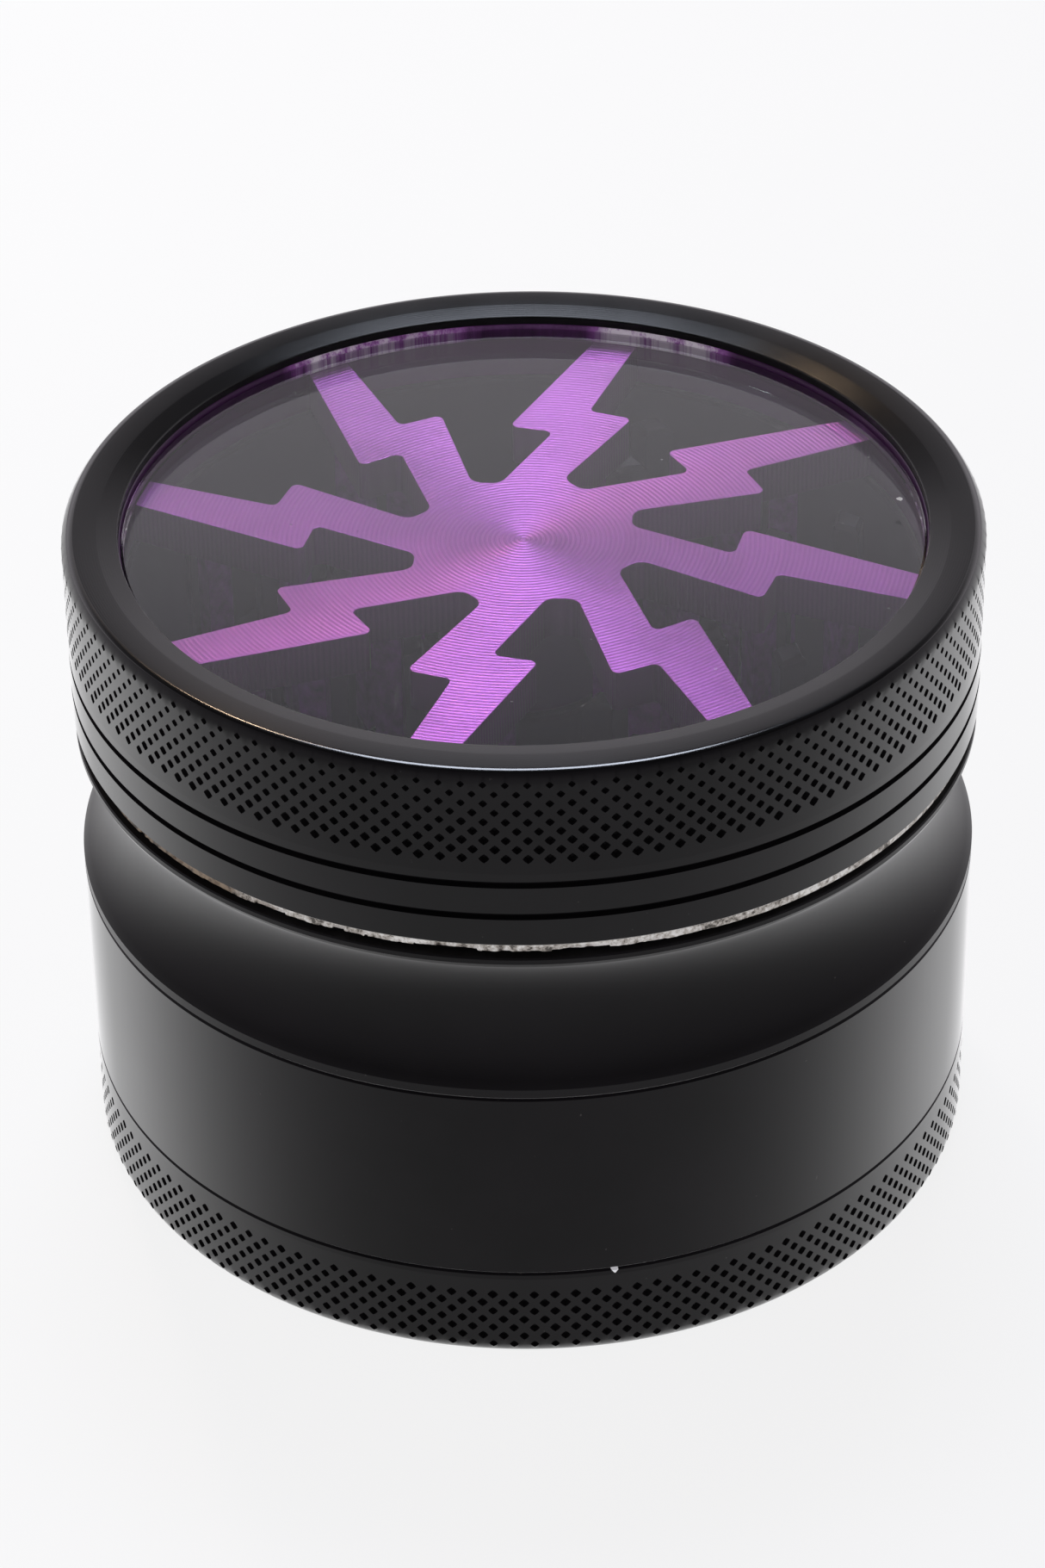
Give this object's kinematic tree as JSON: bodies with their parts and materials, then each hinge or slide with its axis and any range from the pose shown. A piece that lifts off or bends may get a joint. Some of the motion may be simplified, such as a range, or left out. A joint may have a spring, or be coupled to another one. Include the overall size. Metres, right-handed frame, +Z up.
{
  "type": "four-part hand grinder",
  "caption": "Round knurled hand grinder: screw-together cup, screen chamber and coved grinding chamber under a lid with a clear window over a zigzag-armed toothed plate.",
  "frame": {"origin": "centre of the underside, on the surface the object stands on", "axes": "+Z up along the common axis of all the parts; +Y away from the viewer"},
  "size_m": [0.063, 0.063, 0.0483],
  "materials": {
    "body": "black anodised, satin; glossy on the turned rim",
    "plate": "purple anodised, fine concentric turning marks",
    "window": "clear polished",
    "seal": "clear adhesive ring",
    "polymer": "ivory low-friction polymer with a rough cut edge",
    "mesh": "woven stainless wire",
    "steel": "turned steel",
    "magnet": "nickel plated"
  },
  "bodies": {
    "cup": {"base_cup": "body"},
    "screen_thread": {"screen_retaining_ring": "steel"},
    "screen_part": {"screen_chamber": "body", "screen_mesh": "mesh"},
    "grinding_thread": {"chamber_magnet": "magnet"},
    "grinding_part": {"grinding_chamber": "body"},
    "lid_carrier": {"friction_ring": "polymer"},
    "lid": {"lid_ring": "body", "lid_window": "window", "window_seal": "seal", "tooth_plate": "plate", "lid_magnet": "magnet"}
  },
  "joints": [
    {"name": "screen_chamber_rise", "type": "slide", "parent": "cup", "child": "screen_thread", "axis": [0, 0, 1], "range_m": [0, 0.004]},
    {"name": "screen_chamber_turn", "type": "hinge", "parent": "screen_thread", "child": "screen_part", "pos_m": [0, 0, 0.00725], "axis": [0, 0, 1], "range_deg": [0, 900]},
    {"name": "grinding_chamber_rise", "type": "slide", "parent": "screen_part", "child": "grinding_thread", "axis": [0, 0, 1], "range_m": [0, 0.004]},
    {"name": "grinding_chamber_turn", "type": "hinge", "parent": "grinding_thread", "child": "grinding_part", "pos_m": [0, 0, 0.02225], "axis": [0, 0, 1], "range_deg": [0, 900]},
    {"name": "lid_lift", "type": "slide", "parent": "grinding_part", "child": "lid_carrier", "axis": [0, 0, 1], "range_m": [0, 0.014]},
    {"name": "lid_turn", "type": "hinge", "parent": "lid_carrier", "child": "lid", "pos_m": [0, 0, 0.0348], "axis": [0, 0, 1], "continuous": true}
  ],
  "couplings": [
    {"joint": "screen_chamber_rise", "follows": "screen_chamber_turn", "m_per_rad": 0.00025465},
    {"joint": "grinding_chamber_rise", "follows": "grinding_chamber_turn", "m_per_rad": 0.00025465}
  ]
}
